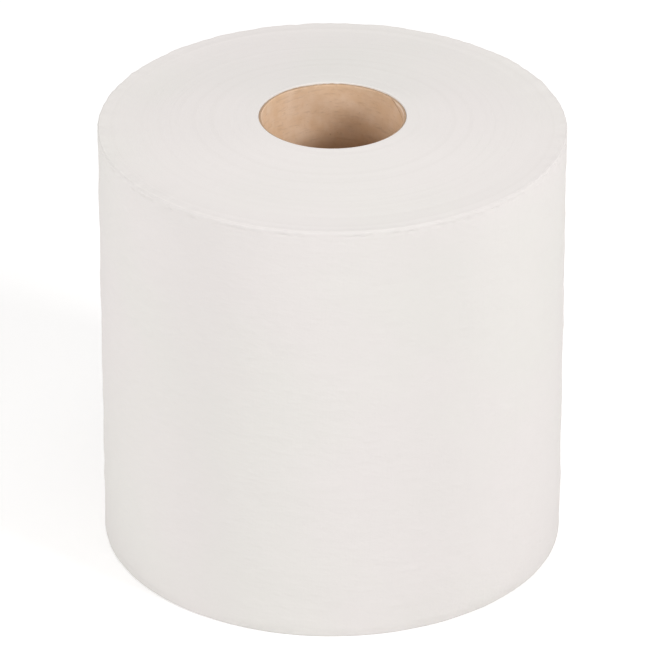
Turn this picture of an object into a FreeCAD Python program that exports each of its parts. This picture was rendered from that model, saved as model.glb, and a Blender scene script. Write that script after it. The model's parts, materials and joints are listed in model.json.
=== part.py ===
"""Center pull paper towel roll: one long web of towel wound on a cardboard core, standing on its end.

Millimetres, +Z up along the core's axis. The origin is on that axis, at the level of the foot: the flat
outer band of the lower end, which is what the roll stands on.

The web is one piece. Its outer turn is a true spiral, so its tail ends in a step one sheet high, parallel
to the axis. Winding has pushed the inner turns and the core up a little against the outer ones, so the
upper end is crowned and the lower end is dished by as much. Hundreds of turns end on each face. They are
drawn there as one spiral groove of a coarser pitch.
"""

import os

import FreeCAD
import Part

# Driving sizes
ROLL_DIAMETER = 200.0
WEB_WIDTH = 194.0
CORE_BORE = 61.0
CORE_WALL = 0.9
CORE_FIT = 0.05  # radial clearance between the core and the first turn
CORE_RECESS = 0.6  # how far each end of the core lies inside the turns beside it

SHEET_THICKNESS = 0.4  # two embossed plies at the free tail, where nothing presses them
TAIL_ANGLE = 62.0  # degrees about +Z from +X
EDGE_CHAMFER = 1.2  # softening of the web's outer edges

CENTRE_LIFT = 4.5  # how much higher the innermost turns lie than the outer band
FOOT_BAND = 11.0  # width of the flat outer band at each end

TURNS_DRAWN = 5  # turns of the groove in each end face
GROOVE_WIDTH = 1.2
GROOVE_DEPTH = 0.5
GROOVE_MARGIN = 3.0  # from the groove's middle line to the bore and to the flat outer band

# Worked out
ROLL_RADIUS = ROLL_DIAMETER / 2
CORE_INNER = CORE_BORE / 2
CORE_OUTER = CORE_INNER + CORE_WALL
WEB_INNER = CORE_OUTER + CORE_FIT
FOOT_INNER = ROLL_RADIUS - FOOT_BAND
GROOVE_START = WEB_INNER + GROOVE_MARGIN
GROOVE_END = FOOT_INNER - GROOVE_MARGIN
GROOVE_PITCH = (GROOVE_END - GROOVE_START) / TURNS_DRAWN

UP = FreeCAD.Vector(0, 0, 1)
ORIGIN = FreeCAD.Vector(0, 0, 0)


def point(radius, height):
    """A point of a section in the XZ plane."""
    return FreeCAD.Vector(radius, 0, height)


def section_face(points):
    """A flat face with those corners."""
    return Part.Face(Part.makePolygon(points + points[:1]))


def lift(radius):
    """How far the turn at this radius has been pushed up: none in the foot band, all of it at the core."""
    share = (FOOT_INNER - radius) / (FOOT_INNER - WEB_INNER)
    return CENTRE_LIFT * min(1.0, max(0.0, share))


def half_turn(centre_x, radius, side):
    """Half a circle in plan, from +X to -X of its centre, by way of +Y or -Y as side is +1 or -1."""
    return Part.Arc(
        FreeCAD.Vector(centre_x + radius, 0, 0),
        FreeCAD.Vector(centre_x, side * radius, 0),
        FreeCAD.Vector(centre_x - radius, 0, 0),
    ).toShape()


def radial_line(inner, outer):
    """A straight edge along +X between two radii."""
    return Part.LineSegment(point(inner, 0), point(outer, 0)).toShape()


def spiral_outline():
    """The web's outer surface in plan: two half turns on two centres, joined by the step at the tail.

    The second is centred half a sheet behind the first and is half a sheet smaller, so that the two are
    tangent where they meet and a whole turn comes in by one sheet.
    """
    half_sheet = SHEET_THICKNESS / 2
    first = half_turn(0, ROLL_RADIUS, +1)
    second = half_turn(-half_sheet, ROLL_RADIUS - half_sheet, -1)
    step = radial_line(ROLL_RADIUS - SHEET_THICKNESS, ROLL_RADIUS)
    return Part.Wire([first, second, step])


def end_faces_blank():
    """A ring with the roll's two end faces, its bore and its softened edges.

    It is wider than the roll by one sheet, so that the outline trims it all the way round.
    """
    beyond = ROLL_RADIUS + SHEET_THICKNESS
    chamfer_start = beyond - EDGE_CHAMFER
    section = section_face(
        [
            point(WEB_INNER, lift(WEB_INNER)),
            point(FOOT_INNER, 0),
            point(chamfer_start, 0),
            point(beyond, EDGE_CHAMFER),
            point(beyond, WEB_WIDTH - EDGE_CHAMFER),
            point(chamfer_start, WEB_WIDTH),
            point(FOOT_INNER, WEB_WIDTH),
            point(WEB_INNER, WEB_WIDTH + lift(WEB_INNER)),
        ]
    )
    blank = section.revolve(ORIGIN, UP, 360)
    # The revolved faces start and end along one line, here turned away from where the half turns meet.
    blank.rotate(ORIGIN, UP, 90)
    return blank


def spiral_edges(start):
    """The half turns of a spiral that starts at +X at this radius and comes out by a pitch each turn."""
    edges = []
    for turn in range(TURNS_DRAWN):
        radius = start + turn * GROOVE_PITCH
        edges.append(half_turn(0, radius, +1))
        edges.append(half_turn(GROOVE_PITCH / 2, radius + GROOVE_PITCH / 2, -1))
    return edges


def groove_band():
    """The groove in plan: one long face between two spirals."""
    half_width = GROOVE_WIDTH / 2
    inner_side = spiral_edges(GROOVE_START - half_width)
    outer_side = spiral_edges(GROOVE_START + half_width)
    start = radial_line(GROOVE_START - half_width, GROOVE_START + half_width)
    end = radial_line(GROOVE_END - half_width, GROOVE_END + half_width)
    return Part.Face(Part.Wire([*inner_side, end, *reversed(outer_side), start]))


def groove_cutter(outward):
    """What the groove takes out of an end face: the upper one if outward is +1, the lower one if -1.

    Its floor is the end face itself, moved into the web by the groove's depth.
    """
    band = groove_band()
    band.translate(UP * (WEB_WIDTH / 2))
    column = band.extrude(UP * (outward * WEB_WIDTH))
    return column.cut(end_faces_blank().translated(UP * (-outward * GROOVE_DEPTH)))


def make_paper_web():
    """The whole wound web, with its spiral outer turn, its two end faces and the groove in each."""
    outline = Part.Face(spiral_outline())
    outline.translate(UP * -FOOT_BAND)
    column = outline.extrude(UP * (WEB_WIDTH + 2 * FOOT_BAND))
    web = column.common(end_faces_blank())
    web = web.cut([groove_cutter(+1), groove_cutter(-1)])
    web.rotate(ORIGIN, UP, TAIL_ANGLE)
    return web


def make_core_tube():
    """The cardboard tube that the web is wound on. It has been lifted with the turns around it."""
    bottom = lift(WEB_INNER) + CORE_RECESS
    length = WEB_WIDTH - 2 * CORE_RECESS
    base = point(0, bottom)
    return Part.makeCylinder(CORE_OUTER, length, base, UP).cut(
        Part.makeCylinder(CORE_INNER, length, base, UP)
    )


def main():
    os.makedirs("parts", exist_ok=True)
    nodes = {"paper_web": make_paper_web(), "core_tube": make_core_tube()}
    for name, shape in nodes.items():
        shape.exportStep(os.path.join("parts", name + ".step"))
        print(f"{name}: {len(shape.Solids)} solid, {len(shape.Faces)} faces, {shape.Volume / 1e6:.4f} l")


main()
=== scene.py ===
"""Looks of the center pull paper towel roll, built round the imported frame. Metres, +Z up.

The towel is one closed mesh in cylindrical sections: two end faces with their turns, the outer
turn and the bore. Its free tail is a thin strip of its own. The core is a third mesh, a tube of
wound board. Towel and core follow the sizes of the CAD nodes that they replace.
"""
import json
import math
from functools import cached_property

import bpy
import numpy as np
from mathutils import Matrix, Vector


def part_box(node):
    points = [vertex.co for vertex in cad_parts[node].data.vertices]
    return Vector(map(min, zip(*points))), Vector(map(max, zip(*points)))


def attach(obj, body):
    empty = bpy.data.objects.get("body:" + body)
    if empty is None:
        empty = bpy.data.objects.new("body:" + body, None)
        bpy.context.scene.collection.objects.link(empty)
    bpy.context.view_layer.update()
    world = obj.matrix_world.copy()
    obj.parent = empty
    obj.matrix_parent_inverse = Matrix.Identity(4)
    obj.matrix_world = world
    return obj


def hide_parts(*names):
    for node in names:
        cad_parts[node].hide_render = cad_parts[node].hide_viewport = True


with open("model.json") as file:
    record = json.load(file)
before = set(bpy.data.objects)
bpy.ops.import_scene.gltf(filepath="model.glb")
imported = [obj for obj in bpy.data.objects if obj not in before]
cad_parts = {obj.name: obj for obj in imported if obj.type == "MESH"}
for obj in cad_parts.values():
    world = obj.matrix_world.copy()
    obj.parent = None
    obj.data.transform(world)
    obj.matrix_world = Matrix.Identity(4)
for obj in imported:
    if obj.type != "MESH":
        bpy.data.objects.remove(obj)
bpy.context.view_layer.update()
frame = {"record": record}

MM = 0.001
TURN = 2 * math.pi

# Sizes read from the frame
_, WEB_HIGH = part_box("paper_web")
CORE_LOW, CORE_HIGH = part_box("core_tube")
BORE = next(mount for mount in frame["record"]["mounts"] if mount["name"] == "core_bore")
ROLL_RADIUS = WEB_HIGH.y
CORE_OUTER = CORE_HIGH.y
CORE_INNER = BORE["dims"]["r_mm"] * MM
CORE_RECESS = WEB_HIGH.z - CORE_HIGH.z
CENTRE_LIFT = CORE_LOW.z - CORE_RECESS
WEB_WIDTH = WEB_HIGH.z - CENTRE_LIFT

# Sizes of the part that the frame doesn't give
SHEET_THICKNESS = 0.4 * MM
TAIL_ANGLE = math.radians(62)
CORE_FIT = 0.05 * MM
FOOT_BAND = 11 * MM
FOOT_INNER = ROLL_RADIUS - FOOT_BAND
WEB_INNER = CORE_OUTER + CORE_FIT

# The towel's mesh
WEB_COLUMNS = 600
STEP_GAP = 0.03 * MM  # between the first column and the last
UPPER_FACE_POINTS = 62
LOWER_FACE_POINTS = 28
FACE_CROWDING = 0.6  # of those points towards the face's two edges
EDGE_POINTS = 6
BORE_EDGE_POINTS = 4
OUTER_ROUNDING = 0.7 * MM
INNER_ROUNDING = 0.5 * MM
SHARP_ANGLE = math.radians(50)

# Rows of the side, as distances below the rounded upper edge: close together under the lip
CLOSE_ROW_COUNT = 15
CLOSE_ROW_STEP = 0.35 * MM
FAR_ROW_COUNT = 38
CLOSE_ROWS = np.arange(CLOSE_ROW_COUNT) * CLOSE_ROW_STEP
FAR_ROWS = np.linspace(CLOSE_ROWS[-1], WEB_WIDTH - 2 * OUTER_ROUNDING, FAR_ROW_COUNT + 1)[1:]
SIDE_ROWS = np.concatenate([CLOSE_ROWS, FAR_ROWS])[None, :]

# The end faces: a crown or a dish, and a spiral relief on it
LIFT_POWER = 1.2
RELIEF_PITCH = 10.3 * MM
RELIEF_PARTS = ((1, 0.020, 0.3), (2, 0.022, 1.9), (3, 0.016, 4.0))  # per pitch, mm, phase
BORE_FADE = 3 * MM

# The upper rim: a thin lip that bulges at its top, with the paper tucked in under it
LIP_HEIGHT = 0.11 * MM
LIP_LEAST, LIP_MOST = 0.1, 2.2  # as shares of LIP_HEIGHT
LIP_WIDTH = 0.9 * MM
LIP_INSIDE = 2.6 * MM
BULGE = 0.8  # as a share of the lip's height, as the tuck is
TUCK = 2.0
TUCK_DEPTH = 1.4 * MM
TUCK_WIDTH = 0.6 * MM
RIM_FADE = 9 * MM

# The last stretch of the towel, which has come away from the roll a little
TAIL_LENGTH = 16 * MM
TAIL_THICKNESS = 0.32 * MM
TAIL_TEAR = 0.25 * MM
TAIL_COLUMNS = 18
TAIL_ROW_PARTS = 3
TAIL_LIFT = 1.3 * MM
TAIL_LIFT_MEAN, TAIL_LIFT_WAVE = 0.75, 0.6
TAIL_LIFT_LEAST, TAIL_LIFT_MOST = 0.2, 1.6
TAIL_TOP_SHARE = 0.15  # of the lift at the rim, which grows to all of it below TAIL_HELD
TAIL_HELD = 30 * MM

# The core's mesh, and the joint of the board's innermost ply, which meets the top at PLY_ANGLE
CORE_COLUMNS = 256
CORE_ROWS = 90
CORE_CROWDING = 0.5
CORE_ROUNDING = 0.18 * MM
PLY_LEAD = 83 * MM
PLY_ANGLE = math.radians(35.7)
PLY_STEP = 0.22 * MM
PLY_GAP = 0.45 * MM

# The joint in the board's material: its dark line, and the tip of the ply at the cut end, paler as
# scuffed board and as a painted highlight, which fades out this far below the end, and fades in and
# out again this far above the joint
LINE_WIDTH = 0.5 * MM
TIP_DEPTH = (0.8 * MM, 1.8 * MM)
TIP_START = (0.4 * MM, 1.0 * MM)
TIP_END = (5 * MM, 8 * MM)

# The perforations, in the material only: a bump, and painted shade in the slits
SHEET_LENGTH = 226 * MM
SLIT_PITCH = 5 * MM
SLIT_SHARE = 0.78
SLIT_HALF_WIDTH = 0.09 * MM

# Colours
PAPER_WARM = (0.800, 0.768, 0.756, 1)
PAPER_COOL = (0.787, 0.770, 0.745, 1)
PAPER_SHADE = (0.700, 0.670, 0.645, 1)
# Painted shade and light on the paper: the side darker and the end faces lighter than the same
# paper
SIDE_SHADED_TONE = 0.947
FACE_LIT_TONE = 1.035
KRAFT = (0.858, 0.616, 0.412, 1)
KRAFT_PALE = (0.940, 0.724, 0.545, 1)
KRAFT_TIP_SCUFF_AND_HIGHLIGHT = (0.930, 0.780, 0.650, 1)
KRAFT_DARK = (0.420, 0.260, 0.150, 1)
# The cut ends: darker board, with painted shade of the gap between the core and the paper
KRAFT_EDGE = (0.530, 0.365, 0.245, 1)
KRAFT_CUT = (0.420, 0.305, 0.215, 1)
FLOOR = (0.94, 0.94, 0.94, 1)
WHITE = (1, 1, 1, 1)

# Painted light and shade in the board, as shares of KRAFT_DARK: painted shade on the side away from
# the lit side, and painted shade deep inside the tube, from this far inside either end
PAINTED_LIT_SIDE = math.radians(165)
SHADE_OFF_LIT_SIDE = 0.36
SHADE_DEEP_INSIDE = 0.68
SHADE_DEEP_FROM, SHADE_DEEP_TO = 19 * MM, 35 * MM

# Light and camera
WORLD_COLOR = (1.0, 0.99, 0.98, 1)
WORLD_STRENGTH = 0.50
FLOOR_GLOW = 0.25  # lifts the floor to white in view, but for the roll's shadow
FLOOR_REACH = 12.0
LAMP_AIM = (0, 0, 0.12)
CAMERA_DISTANCE = 2.6
CAMERA_ELEVATION = math.radians(26.55)
CAMERA_PITCH = math.radians(28.5)
CAMERA_LENS = 331
CAMERA_SENSOR = 36


def waves(seed, count, size, turns, per_metre):
    """Random waves, periodic round the roll, each of 0.4 to 1 of the given size.

    A wave is its size, its turns round the roll, its waves a metre and its phase.
    """
    rng = np.random.default_rng(seed)
    share = rng.uniform(0.4, 1.0, count)
    return [
        (
            size * share[i] / math.sqrt(count),
            int(rng.integers(turns[0], turns[1] + 1)),
            float(rng.uniform(*per_metre)) * (1 if rng.random() < 0.5 else -1),
            float(rng.uniform(0, TURN)),
        )
        for i in range(count)
    ]


def sum_waves(wave_list, angle, along):
    total = np.zeros(np.broadcast(angle, along).shape)
    for size, turns, per_metre, phase in wave_list:
        total += size * np.cos(turns * angle + TURN * per_metre * along + phase)
    return total


RIM_WAVES = waves(seed=11, count=20, size=0.17 * MM, turns=(2, 60), per_metre=(0, 0.1))
LIP_WAVES = waves(seed=12, count=30, size=1.6, turns=(5, 110), per_metre=(0, 0.1))
SIDE_SWELL = waves(seed=13, count=10, size=0.16 * MM, turns=(0, 5), per_metre=(4, 30))
SIDE_CREASE = waves(seed=14, count=40, size=0.10 * MM, turns=(4, 34), per_metre=(10, 90))
BAND_WAVES = waves(seed=15, count=18, size=0.10 * MM, turns=(0, 0), per_metre=(30, 220))
FACE_SWELL = waves(seed=16, count=14, size=0.22 * MM, turns=(1, 6), per_metre=(4, 18))
TAIL_WAVES = waves(seed=17, count=9, size=0.9, turns=(0, 0), per_metre=(4, 20))
CORE_DENTS = waves(seed=31, count=16, size=0.16 * MM, turns=(2, 9), per_metre=(3, 24))
CORE_CUT = waves(seed=32, count=22, size=0.16 * MM, turns=(3, 60), per_metre=(0, 0.1))

# The web's mesh starts and ends under the root of the tail, where the last turn runs out.
STEP_ANGLE = TAIL_ANGLE + TAIL_LENGTH / ROLL_RADIUS


def lift(radius):
    """How far the turns at this radius stand above the outer band: most at the core."""
    share = np.clip((FOOT_INNER - radius) / (FOOT_INNER - WEB_INNER), 0, 1)
    return CENTRE_LIFT * share**LIFT_POWER


def turn_relief(radius, angle):
    """The turns' own ups and downs on an end face: a spiral, uneven within each of its pitches."""
    phase = TURN * (radius / RELIEF_PITCH) - angle
    return MM * sum(size * np.cos(number * phase + start) for number, size, start in RELIEF_PARTS)


def outer_radius(angle, height):
    """The outer turn, which comes in by one sheet over a whole turn from the tail."""
    radius = ROLL_RADIUS - SHEET_THICKNESS * (angle - TAIL_ANGLE) / TURN
    radius = radius + sum_waves(SIDE_SWELL, angle, height) + sum_waves(SIDE_CREASE, angle, height)
    return radius + sum_waves(BAND_WAVES, 0 * angle, height)


def rim_shape(angle):
    """The upper rim's ups and downs, and the height of the thin lip that stands on it."""
    wave = sum_waves(RIM_WAVES, angle, 0 * angle)
    lip = np.clip(1 + sum_waves(LIP_WAVES, angle, 0 * angle), LIP_LEAST, LIP_MOST)
    return wave, LIP_HEIGHT * lip


def side_surface(angle, below):
    """Radius and height of the side, at the given distances below the rounded upper edge."""
    wave, lip = rim_shape(angle)
    height = WEB_WIDTH - OUTER_ROUNDING - below
    bulge = BULGE * np.exp(-((below / LIP_WIDTH) ** 2))
    tuck = TUCK * np.exp(-(((below - TUCK_DEPTH) / TUCK_WIDTH) ** 2))
    radius = outer_radius(angle, height) + lip * (bulge - tuck)
    return radius, height + wave * np.exp(-below / RIM_FADE)


def spaced(count, crowding):
    """That many places from 0 to 1, crowded towards both ends by the given share."""
    t = np.linspace(0, 1, count)
    return ((1 - crowding) * t + crowding * (1 - np.cos(math.pi * t)) / 2)[None, :]


def end_face_heights(radius, angle, rim, upper):
    """Height of an end face. The upper one is crowned and the lower one dished by as much."""
    face = (WEB_WIDTH if upper else 0) + lift(radius)
    rim_fade = np.clip((rim - radius) / (FOOT_BAND / 2), 0, 1)
    bore_fade = np.clip((radius - WEB_INNER) / BORE_FADE, 0, 1)
    relief = turn_relief(radius, angle) * bore_fade
    if upper:
        return face + relief + sum_waves(FACE_SWELL, angle, radius) * bore_fade * rim_fade
    return face + np.abs(relief) * rim_fade


def joined(blocks):
    """One section from blocks of points: their radius, their height and their faces' material."""
    radius = np.hstack([block[0] for block in blocks])
    height = np.hstack([block[1] for block in blocks])
    material = np.concatenate([np.full(block[0].shape[1], block[2]) for block in blocks])
    return radius, height, material


def web_sections(angles):
    """The closed section at each angle, down the side and up the bore: arrays (columns, points)."""
    a = angles[:, None]
    ones = np.ones_like(a)
    rim_top = outer_radius(a, WEB_WIDTH * ones)
    rim_bottom = outer_radius(a, 0 * ones)
    wave, lip = rim_shape(a)
    quarter = np.linspace(0, math.pi / 2, EDGE_POINTS)[None, :]
    bore_quarter = np.linspace(0, math.pi / 2, BORE_EDGE_POINTS)[None, :]
    across = OUTER_ROUNDING * (1 - np.sin(quarter))
    down = OUTER_ROUNDING * (1 - np.cos(quarter))
    bore_across = INNER_ROUNDING * (1 - np.sin(bore_quarter)) * ones
    bore_down = INNER_ROUNDING * (1 - np.cos(bore_quarter)) * ones

    out = spaced(UPPER_FACE_POINTS, FACE_CROWDING)
    face_inner = WEB_INNER + INNER_ROUNDING
    top_r = face_inner + (rim_top - OUTER_ROUNDING - face_inner) * out
    from_rim = rim_top - top_r
    top_z = end_face_heights(top_r, a, rim_top, True) + wave * np.exp(-from_rim / RIM_FADE)
    top_z = top_z + lip * np.exp(-((from_rim / LIP_INSIDE) ** 2))

    edge_lip = lip * np.exp(-((across / LIP_INSIDE) ** 2))
    top_edge_r = rim_top - across + BULGE * edge_lip * np.sin(quarter)
    top_edge_z = WEB_WIDTH + wave - down + edge_lip * np.cos(quarter)

    side_r, side_z = side_surface(a, SIDE_ROWS)

    low_edge_r = rim_bottom - down
    low_edge_z = across * ones

    back = spaced(LOWER_FACE_POINTS, FACE_CROWDING)
    low_r = (rim_bottom - OUTER_ROUNDING) * (1 - back) + face_inner * back
    low_z = end_face_heights(low_r, a, rim_bottom, False)

    bore_low = (WEB_INNER + bore_across, CENTRE_LIFT + bore_down)
    bore_top = (WEB_INNER + bore_down, WEB_WIDTH + CENTRE_LIFT - bore_across)

    return joined(
        (
            (top_r, top_z, 1),
            (top_edge_r[:, 1:-1], top_edge_z[:, 1:-1], 0),
            (side_r, side_z, 0),
            (low_edge_r[:, 1:-1], low_edge_z[:, 1:-1], 0),
            (low_r, low_z, 1),
            (bore_low[0][:, 1:], bore_low[1][:, 1:], 1),
            (bore_top[0][:, :-1], bore_top[1][:, :-1], 1),
        )
    )


def mesh_object(name, points, faces, materials, face_materials=None):
    mesh = bpy.data.meshes.new(name)
    mesh.from_pydata(points, [], faces)
    for material in materials:
        mesh.materials.append(material)
    if face_materials is not None:
        mesh.polygons.foreach_set("material_index", face_materials)
    mesh.polygons.foreach_set("use_smooth", [True] * len(mesh.polygons))
    mesh.update()
    mesh.set_sharp_from_angle(angle=SHARP_ANGLE)
    piece = bpy.data.objects.new(name, mesh)
    bpy.context.scene.collection.objects.link(piece)
    return piece


def cylinder_points(radius, angle, height):
    places = np.stack([radius * np.cos(angle), radius * np.sin(angle), height], axis=-1)
    return places.reshape(-1, 3)


def ring_object(name, angles, section, materials, inwards=False):
    """A closed section carried round a whole turn, as one mesh of quads."""
    radius, height, face_material = section
    columns, points = radius.shape
    column = np.arange(columns)[:, None]
    point = np.arange(points)[None, :]
    next_column = (column + 1) % columns
    next_point = (point + 1) % points
    corners = [
        column * points + point,
        column * points + next_point,
        next_column * points + next_point,
        next_column * points + point,
    ]
    faces = np.stack(np.broadcast_arrays(*corners), axis=-1).reshape(-1, 4)
    if inwards:
        faces = faces[:, ::-1]
    places = cylinder_points(radius, angles[:, None] * np.ones_like(radius), height)
    numbers = np.tile(face_material, columns)
    return mesh_object(name, places.tolist(), faces.tolist(), materials, numbers.tolist())


def make_towel_web(side_material, face_material):
    """The web. Its first and last columns lie close together, with the step between them."""
    angles = STEP_ANGLE + np.linspace(0, TURN - STEP_GAP / ROLL_RADIUS, WEB_COLUMNS)
    return ring_object("towel_web", angles, web_sections(angles), [side_material, face_material])


def between_rows(values, parts):
    """The rows of an array with further rows on the straight lines between them."""
    rows = np.linspace(0, len(values) - 1, parts * (len(values) - 1) + 1)
    low = np.minimum(rows.astype(int), len(values) - 2)
    share = (rows - low)[:, None]
    return values[low] * (1 - share) + values[low + 1] * share


def make_towel_tail(material):
    """The free end: a thin strip that carries the side on and lifts towards its torn edge."""
    share = np.linspace(0, 1, TAIL_COLUMNS)[None, :]
    held_angle = STEP_ANGLE - TAIL_LENGTH * share / ROLL_RADIUS
    outer, height = side_surface(held_angle, SIDE_ROWS.T)
    outer, height = between_rows(outer, TAIL_ROW_PARTS), between_rows(height, TAIL_ROW_PARTS)
    up = len(outer)
    tear = np.random.default_rng(21).uniform(-1, 1, (up, 1)) * TAIL_TEAR
    angle = STEP_ANGLE - (TAIL_LENGTH + tear) * share / ROLL_RADIUS
    wavy = TAIL_LIFT_MEAN + TAIL_LIFT_WAVE * sum_waves(TAIL_WAVES, 0 * height, height)
    wavy = np.clip(wavy, TAIL_LIFT_LEAST, TAIL_LIFT_MOST)
    free = np.clip(TAIL_TOP_SHARE + (WEB_WIDTH - height) / TAIL_HELD, 0, 1)
    outer = outer + TAIL_LIFT * wavy * free * share**2
    inner = outer - TAIL_THICKNESS
    outside = cylinder_points(outer, angle, height)
    points = np.vstack([outside, cylinder_points(inner, angle, height)])

    index = np.arange(outer.size).reshape(outer.shape)
    corners = [index[:-1, :-1], index[:-1, 1:], index[1:, 1:], index[1:, :-1]]
    front = np.stack(corners, axis=-1).reshape(-1, 4)
    back = front[:, ::-1] + outer.size
    loop = np.concatenate([index[0, :], index[1:, -1], index[-1, -2::-1], index[-2:0:-1, 0]])
    after = np.roll(loop, -1)
    rim = np.stack([after, loop, loop + outer.size, after + outer.size], axis=-1)
    faces = np.vstack([front, back, rim])
    return mesh_object("towel_tail", points.tolist(), faces.tolist(), [material])


def ply_seam(angle, height):
    """Depth of the helical joint between turns of the board's innermost ply."""
    turns = (height - CORE_HIGH.z) / PLY_LEAD - (angle - PLY_ANGLE) / TURN
    off = np.abs((turns - np.round(turns)) * PLY_LEAD)
    return PLY_STEP * np.exp(-((off / PLY_GAP) ** 2))


def make_kraft_core(material, edge_material):
    """The board tube: inner wall with its ply joint, the two cut ends and the wall on the paper."""
    angles = np.linspace(0, TURN, CORE_COLUMNS, endpoint=False)
    a = angles[:, None]
    ones = np.ones_like(a)
    low, high = CORE_LOW.z, CORE_HIGH.z
    soft = CORE_ROUNDING
    down = spaced(CORE_ROWS, CORE_CROWDING)
    inner_z = ((high - soft) * (1 - down) + (low + soft) * down) * ones
    inner_r = CORE_INNER + sum_waves(CORE_DENTS, a, inner_z) + ply_seam(a, inner_z)
    cut_z = high + sum_waves(CORE_CUT, a, 0 * a)
    section = joined(
        (
            (CORE_OUTER * ones, (low + soft) * ones, 0),
            (CORE_OUTER * ones, (high - soft) * ones, 1),
            ((CORE_OUTER - soft) * ones, cut_z, 1),
            (inner_r[:, :1] + soft, cut_z, 1),
            (inner_r[:, :-1], inner_z[:, :-1], 0),
            (inner_r[:, -1:], inner_z[:, -1:], 1),
            (inner_r[:, -1:] + soft, low * ones, 1),
            ((CORE_OUTER - soft) * ones, low * ones, 1),
        )
    )
    return ring_object("kraft_core", angles, section, [material, edge_material], inwards=True)


class Nodes:
    """A short way to write a node tree."""

    MIX_FIRST, MIX_SECOND, MIX_RESULT = 6, 7, 2  # a mix node's sockets for colours

    def __init__(self, tree):
        self.tree = tree

    def add(self, kind, **settings):
        node = self.tree.nodes.new(kind)
        for key, value in settings.items():
            setattr(node, key, value)
        return node

    def link(self, source, target):
        self.tree.links.new(source, target)

    def feed(self, node, key, value):
        if isinstance(value, bpy.types.NodeSocket):
            self.link(value, node.inputs[key])
        elif value is not None:
            node.inputs[key].default_value = value

    def math(self, operation, a, b=None, c=None):
        node = self.add("ShaderNodeMath", operation=operation)
        for key, value in enumerate((a, b, c)):
            self.feed(node, key, value)
        return node.outputs[0]

    def plus(self, a, b):
        return self.math("ADD", a, b)

    def minus(self, a, b):
        return self.math("SUBTRACT", a, b)

    def times(self, a, b):
        return self.math("MULTIPLY", a, b)

    def over(self, a, b):
        return self.math("DIVIDE", a, b)

    def ramp(self, value, low, high):
        """From 0 to 1, smoothly, as the value goes from low to high."""
        node = self.add("ShaderNodeMapRange", interpolation_type="SMOOTHSTEP")
        self.feed(node, "Value", value)
        self.feed(node, "From Min", low)
        self.feed(node, "From Max", high)
        return node.outputs["Result"]

    def mix(self, factor, first, second):
        node = self.add("ShaderNodeMix", data_type="RGBA")
        self.feed(node, "Factor", factor)
        self.feed(node, self.MIX_FIRST, first)
        self.feed(node, self.MIX_SECOND, second)
        return node.outputs[self.MIX_RESULT]

    def tint(self, color, other, mask, share):
        """The colour, with up to that share of the other one where the mask is 1."""
        return self.mix(self.times(mask, share), color, other)

    def choose(self, factor, first, second):
        """The first node's shader where the factor is 0, the second's where it is 1."""
        node = self.add("ShaderNodeMixShader")
        self.link(factor, node.inputs[0])
        self.link(first.outputs[0], node.inputs[1])
        self.link(second.outputs[0], node.inputs[2])
        return node.outputs[0]

    def background_ray(self):
        """1 for the rays that show the white background: what the camera, metal or glass sees."""
        path = self.add("ShaderNodeLightPath")
        seen = self.math("MAXIMUM", path.outputs["Is Camera Ray"], path.outputs["Is Glossy Ray"])
        return self.math("MAXIMUM", seen, path.outputs["Is Transmission Ray"])


class MaterialNodes(Nodes):
    """The nodes of a new material, which reads the object's own coordinates."""

    def __init__(self, name, roughness, specular):
        self.material = bpy.data.materials.new(name)
        self.material.use_nodes = True
        super().__init__(self.material.node_tree)
        self.shader = self.tree.nodes["Principled BSDF"]
        self.shader.inputs["Roughness"].default_value = roughness
        self.shader.inputs["Specular IOR Level"].default_value = specular

    @cached_property
    def place(self):
        return self.add("ShaderNodeTexCoord").outputs["Object"]

    def polar(self):
        """Sockets for the angle about the axis, the radius and the height."""
        split = self.add("ShaderNodeSeparateXYZ")
        self.link(self.place, split.inputs[0])
        x, y, height = split.outputs
        angle = self.math("ARCTAN2", y, x)
        radius = self.math("SQRT", self.plus(self.times(x, x), self.times(y, y)))
        return angle, radius, height

    def noise_node(self, dimensions, scale, detail, roughness):
        node = self.add("ShaderNodeTexNoise", noise_dimensions=dimensions)
        self.feed(node, "Scale", scale)
        self.feed(node, "Detail", detail)
        self.feed(node, "Roughness", roughness)
        return node

    def noise(self, scale, detail, roughness, stretch=None):
        """Noise in space. The stretch is a further scale along each axis."""
        node = self.noise_node("3D", scale, detail, roughness)
        place = self.place
        if stretch is not None:
            mapping = self.add("ShaderNodeMapping")
            self.link(place, mapping.inputs["Vector"])
            self.feed(mapping, "Scale", stretch)
            place = mapping.outputs["Vector"]
        self.link(place, node.inputs["Vector"])
        return node.outputs["Fac"]

    def noise_along(self, value, scale, detail, roughness):
        """Noise along one value."""
        node = self.noise_node("1D", scale, detail, roughness)
        self.link(value, node.inputs["W"])
        return node.outputs["Fac"]

    def bump(self, height, distance, strength, normal=None):
        node = self.add("ShaderNodeBump")
        self.feed(node, "Height", height)
        self.feed(node, "Distance", distance)
        self.feed(node, "Strength", strength)
        self.feed(node, "Normal", normal)
        return node.outputs["Normal"]

    def finish(self, color, normal):
        self.link(color, self.shader.inputs["Base Color"])
        self.link(normal, self.shader.inputs["Normal"])
        return self.material


def paper_nodes(name, roughness):
    """Tissue: matt, with a little fuzz that catches light at grazing angles."""
    nodes = MaterialNodes(name, roughness, specular=0.2)
    nodes.shader.inputs["Sheen Weight"].default_value = 0.08
    nodes.shader.inputs["Sheen Roughness"].default_value = 0.6
    return nodes


def toned(color, tone):
    return tuple(channel * tone for channel in color[:3]) + (1,)


def paper_color(nodes, tone):
    """Slow warm and cool patches, and a fine cloudiness."""
    patch = nodes.ramp(nodes.noise(11, detail=2, roughness=0.5), 0.35, 0.65)
    color = nodes.mix(patch, toned(PAPER_COOL, tone), toned(PAPER_WARM, tone))
    cloud = nodes.ramp(nodes.noise(420, detail=3, roughness=0.6), 0.62, 0.95)
    return nodes.tint(color, PAPER_SHADE, cloud, 0.25)


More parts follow.
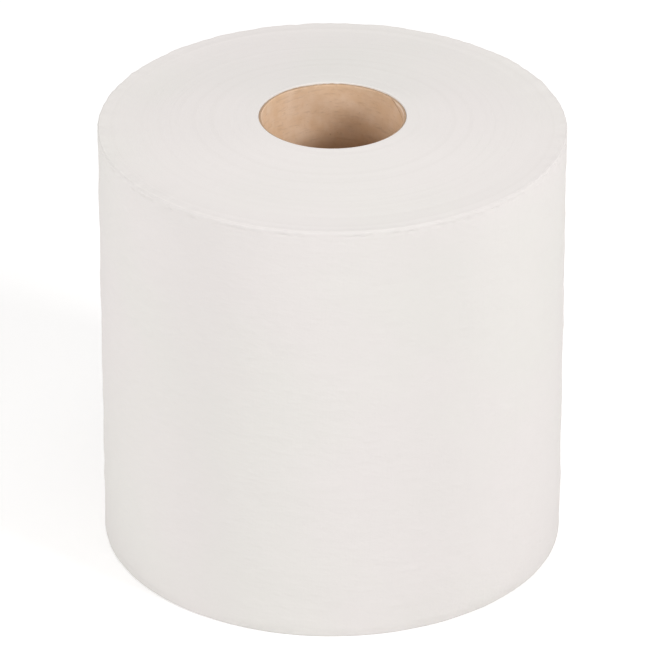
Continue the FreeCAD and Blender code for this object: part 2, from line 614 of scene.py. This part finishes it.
def perforations(nodes, angle, height):
    """1 on the slits between sheets: dashed lines along the axis, a sheet apart from the tail."""
    dash = nodes.math("LESS_THAN", nodes.math("FRACT", nodes.over(height, SLIT_PITCH)), SLIT_SHARE)
    lines = []
    for number in (1, 2):
        place = TAIL_ANGLE + number * SHEET_LENGTH / ROLL_RADIUS
        place = (place + math.pi) % TURN - math.pi
        off = nodes.math("ABSOLUTE", nodes.minus(angle, place))
        lines.append(nodes.math("LESS_THAN", off, SLIT_HALF_WIDTH / ROLL_RADIUS))
    return nodes.times(nodes.math("MAXIMUM", *lines), dash)


def make_paper_side():
    """The outside of the towel: fine creping along the axis, fibres, and the perforations, with
    painted shade in their slits and over the whole side.
    """
    nodes = paper_nodes("towel_side", roughness=0.93)
    angle, _, height = nodes.polar()
    slits = perforations(nodes, angle, height)
    # Painted shade: the whole side a little darker, and darker in the perforations' slits
    color = nodes.tint(paper_color(nodes, SIDE_SHADED_TONE), PAPER_SHADE, slits, 0.35)
    crepe = nodes.noise(1, detail=3, roughness=0.6, stretch=(950, 950, 110))
    fibre = nodes.noise(2600, detail=2, roughness=0.6)
    pucker = nodes.noise(1, detail=3, roughness=0.55, stretch=(85, 85, 210))
    normal = nodes.bump(crepe, distance=0.06 * MM, strength=0.6)
    normal = nodes.bump(fibre, 0.03 * MM, 0.6, normal)
    normal = nodes.bump(pucker, 1.0 * MM, 0.5, normal)
    normal = nodes.bump(nodes.minus(1.0, slits), 0.05 * MM, 0.5, normal)
    return nodes.finish(color, normal)


def make_paper_turns():
    """The end faces: edges of hundreds of turns, each a little above or below the next, with
    painted shade in the gaps between turns and painted light over the whole face.
    """
    nodes = paper_nodes("towel_turns", roughness=0.95)
    turn_step = 0.42 * MM
    angle, radius, _ = nodes.polar()
    share = nodes.over(angle, TURN)
    turns = nodes.minus(nodes.over(radius, turn_step), share)
    along = nodes.plus(nodes.math("FLOOR", turns), share)
    each = nodes.noise_along(along, 2.7, detail=1, roughness=0.5)
    band = nodes.noise_along(turns, 0.11, detail=3, roughness=0.6)
    fibre = nodes.noise(1900, detail=3, roughness=0.65)
    off_middle = nodes.math("ABSOLUTE", nodes.minus(nodes.math("FRACT", turns), 0.5))
    gap = nodes.ramp(off_middle, 0.36, 0.5)
    # Painted light: the whole face a little lighter; painted shade in the gaps between turns
    color = nodes.tint(paper_color(nodes, FACE_LIT_TONE), PAPER_SHADE, gap, 0.30)
    color = nodes.tint(color, PAPER_SHADE, nodes.ramp(band, 0.45, 0.8), 0.12)
    normal = nodes.bump(each, distance=0.10 * MM, strength=0.5)
    normal = nodes.bump(band, 0.14 * MM, 0.5, normal)
    normal = nodes.bump(fibre, 0.05 * MM, 0.5, normal)
    return nodes.finish(color, normal)


def kraft_painted_shade(nodes, angle, height):
    """Painted light and shade on the board: paler on the lit side, darker away from it, and darker
    deep inside the tube than near both ends.
    """
    away = nodes.math("COSINE", nodes.minus(angle, PAINTED_LIT_SIDE))
    away = nodes.math("MULTIPLY_ADD", away, -0.5, 0.5)
    from_top = nodes.minus(CORE_HIGH.z, height)
    from_foot = nodes.minus(height, CORE_LOW.z)
    inside = nodes.ramp(nodes.math("MINIMUM", from_top, from_foot), SHADE_DEEP_FROM, SHADE_DEEP_TO)
    return nodes.math("MULTIPLY_ADD", inside, SHADE_DEEP_INSIDE, nodes.times(away, SHADE_OFF_LIT_SIDE))


def kraft_color(nodes):
    """Mottled board, with dark streaks and flecks."""
    mottle = nodes.ramp(nodes.noise(130, detail=4, roughness=0.62), 0.30, 0.72)
    color = nodes.mix(mottle, KRAFT, KRAFT_PALE)
    streak = nodes.noise(1, detail=3, roughness=0.65, stretch=(160, 160, 800))
    color = nodes.tint(color, KRAFT_DARK, nodes.ramp(streak, 0.50, 0.78), 0.30)
    fleck = nodes.ramp(nodes.noise(900, detail=2, roughness=0.5), 0.66, 0.76)
    return nodes.tint(color, KRAFT_DARK, fleck, 0.35)


def ply_marks(nodes, angle, height):
    """1 on the dark line of the ply's joint, and 1 on the ply's tip over it: scuffed board with a
    painted highlight.
    """
    turns = nodes.minus(nodes.over(height, PLY_LEAD), nodes.over(angle, TURN))
    turns = nodes.plus(turns, 0.5 + PLY_ANGLE / TURN - CORE_HIGH.z / PLY_LEAD)
    above = nodes.times(nodes.minus(nodes.math("FRACT", turns), 0.5), PLY_LEAD)
    line = nodes.minus(1.0, nodes.ramp(nodes.math("ABSOLUTE", above), 0.0, LINE_WIDTH))
    from_end = nodes.minus(CORE_HIGH.z, height)
    tip = nodes.minus(1.0, nodes.ramp(from_end, *TIP_DEPTH))
    tip = nodes.times(tip, nodes.ramp(above, *TIP_START))
    tip = nodes.times(tip, nodes.minus(1.0, nodes.ramp(above, *TIP_END)))
    return line, tip


def make_kraft():
    """The inner wall's board, with the joint of its ply, and painted light and shade."""
    nodes = MaterialNodes("kraft_board", roughness=0.86, specular=0.25)
    angle, _, height = nodes.polar()
    line, tip = ply_marks(nodes, angle, height)
    # Painted shade deep inside the tube and away from the lit side, painted light on the lit side
    color = nodes.mix(kraft_painted_shade(nodes, angle, height), kraft_color(nodes), KRAFT_DARK)
    # Scuffed board and painted highlight on the ply's tip
    color = nodes.tint(color, KRAFT_TIP_SCUFF_AND_HIGHLIGHT, tip, 0.8)
    color = nodes.tint(color, KRAFT_DARK, line, 0.9)
    fibre = nodes.noise(1, detail=4, roughness=0.65, stretch=(380, 380, 1300))
    return nodes.finish(color, nodes.bump(fibre, distance=0.06 * MM, strength=0.6))


def make_kraft_edge():
    """The tube's cut ends: darker, partly as cut board and partly as painted shade of the gap
    beside the paper, with the plies showing.
    """
    nodes = MaterialNodes("kraft_cut", roughness=0.9, specular=0.2)
    ply_thickness = 0.3 * MM
    _, radius, _ = nodes.polar()
    ply = nodes.math("FRACT", nodes.over(radius, ply_thickness))
    color = nodes.mix(nodes.times(ply, 0.6), KRAFT_EDGE, KRAFT_CUT)
    grain = nodes.noise(1500, detail=3, roughness=0.6)
    return nodes.finish(color, nodes.bump(grain, distance=0.08 * MM, strength=0.6))


def make_floor():
    """A plain pale floor that shows as white, with the roll's shadow kept on it."""
    nodes = MaterialNodes("floor", roughness=0.9, specular=0.0)
    nodes.shader.inputs["Base Color"].default_value = FLOOR
    glow = nodes.add("ShaderNodeEmission")
    glow.inputs["Strength"].default_value = FLOOR_GLOW
    both = nodes.add("ShaderNodeAddShader")
    nodes.link(nodes.shader.outputs[0], both.inputs[0])
    nodes.link(glow.outputs[0], both.inputs[1])
    surface = nodes.choose(nodes.background_ray(), nodes.shader, both)
    nodes.link(surface, nodes.tree.nodes["Material Output"].inputs["Surface"])
    reach = FLOOR_REACH
    corners = [(-reach, -reach, 0), (reach, -reach, 0), (reach, reach, 0), (-reach, reach, 0)]
    return mesh_object("floor", corners, [(0, 1, 2, 3)], [nodes.material])


def make_world():
    """Plain soft light from all round, in front of a white background."""
    world = bpy.data.worlds.new("studio")
    bpy.context.scene.world = world
    world.use_nodes = True
    nodes = Nodes(world.node_tree)
    light = nodes.tree.nodes["Background"]
    light.inputs["Color"].default_value = WORLD_COLOR
    light.inputs["Strength"].default_value = WORLD_STRENGTH
    white = nodes.add("ShaderNodeBackground")
    white.inputs["Color"].default_value = WHITE
    white.inputs["Strength"].default_value = 1.0
    surface = nodes.choose(nodes.background_ray(), light, white)
    nodes.link(surface, nodes.tree.nodes["World Output"].inputs["Surface"])


def area_light(name, place, size, power, color):
    """A round lamp that faces LAMP_AIM."""
    lamp = bpy.data.lights.new(name, "AREA")
    lamp.shape = "DISK"
    lamp.size = size
    lamp.energy = power
    lamp.color = color
    holder = bpy.data.objects.new(name, lamp)
    bpy.context.scene.collection.objects.link(holder)
    holder.location = place
    away = Vector(place) - Vector(LAMP_AIM)
    holder.rotation_euler = away.to_track_quat("Z", "Y").to_euler()


def make_camera():
    """The photograph's angle: from far off, well above the roll."""
    camera = bpy.data.cameras.new("camera")
    camera.sensor_width = CAMERA_SENSOR
    camera.lens = CAMERA_LENS
    holder = bpy.data.objects.new("camera", camera)
    bpy.context.scene.collection.objects.link(holder)
    back = CAMERA_DISTANCE * math.cos(CAMERA_ELEVATION)
    up = CAMERA_DISTANCE * math.sin(CAMERA_ELEVATION)
    holder.location = (0, -back, WEB_WIDTH + up)
    holder.rotation_euler = (math.pi / 2 - CAMERA_PITCH, 0, 0)
    bpy.context.scene.camera = holder


side_paper = make_paper_side()
web = make_towel_web(side_paper, make_paper_turns())
tail = make_towel_tail(side_paper)
core = make_kraft_core(make_kraft(), make_kraft_edge())

for piece, slot in ((web, "towel_paper"), (tail, "towel_paper"), (core, "kraft_board")):
    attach(piece, "root")
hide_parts("paper_web")
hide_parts("core_tube")

make_floor()
make_world()
area_light("key", place=(1.60, -1.12, 1.34), size=0.7, power=23, color=(1.0, 0.985, 0.975))
area_light("fill", place=(-1.89, -1.09, 0.83), size=0.7, power=17.3, color=(1.0, 0.99, 0.98))
area_light("overhead", place=(0, 0, 2.42), size=1.8, power=9.2, color=(1.0, 0.985, 0.98))
make_camera()

view = bpy.context.scene.view_settings
view.view_transform = "Standard"
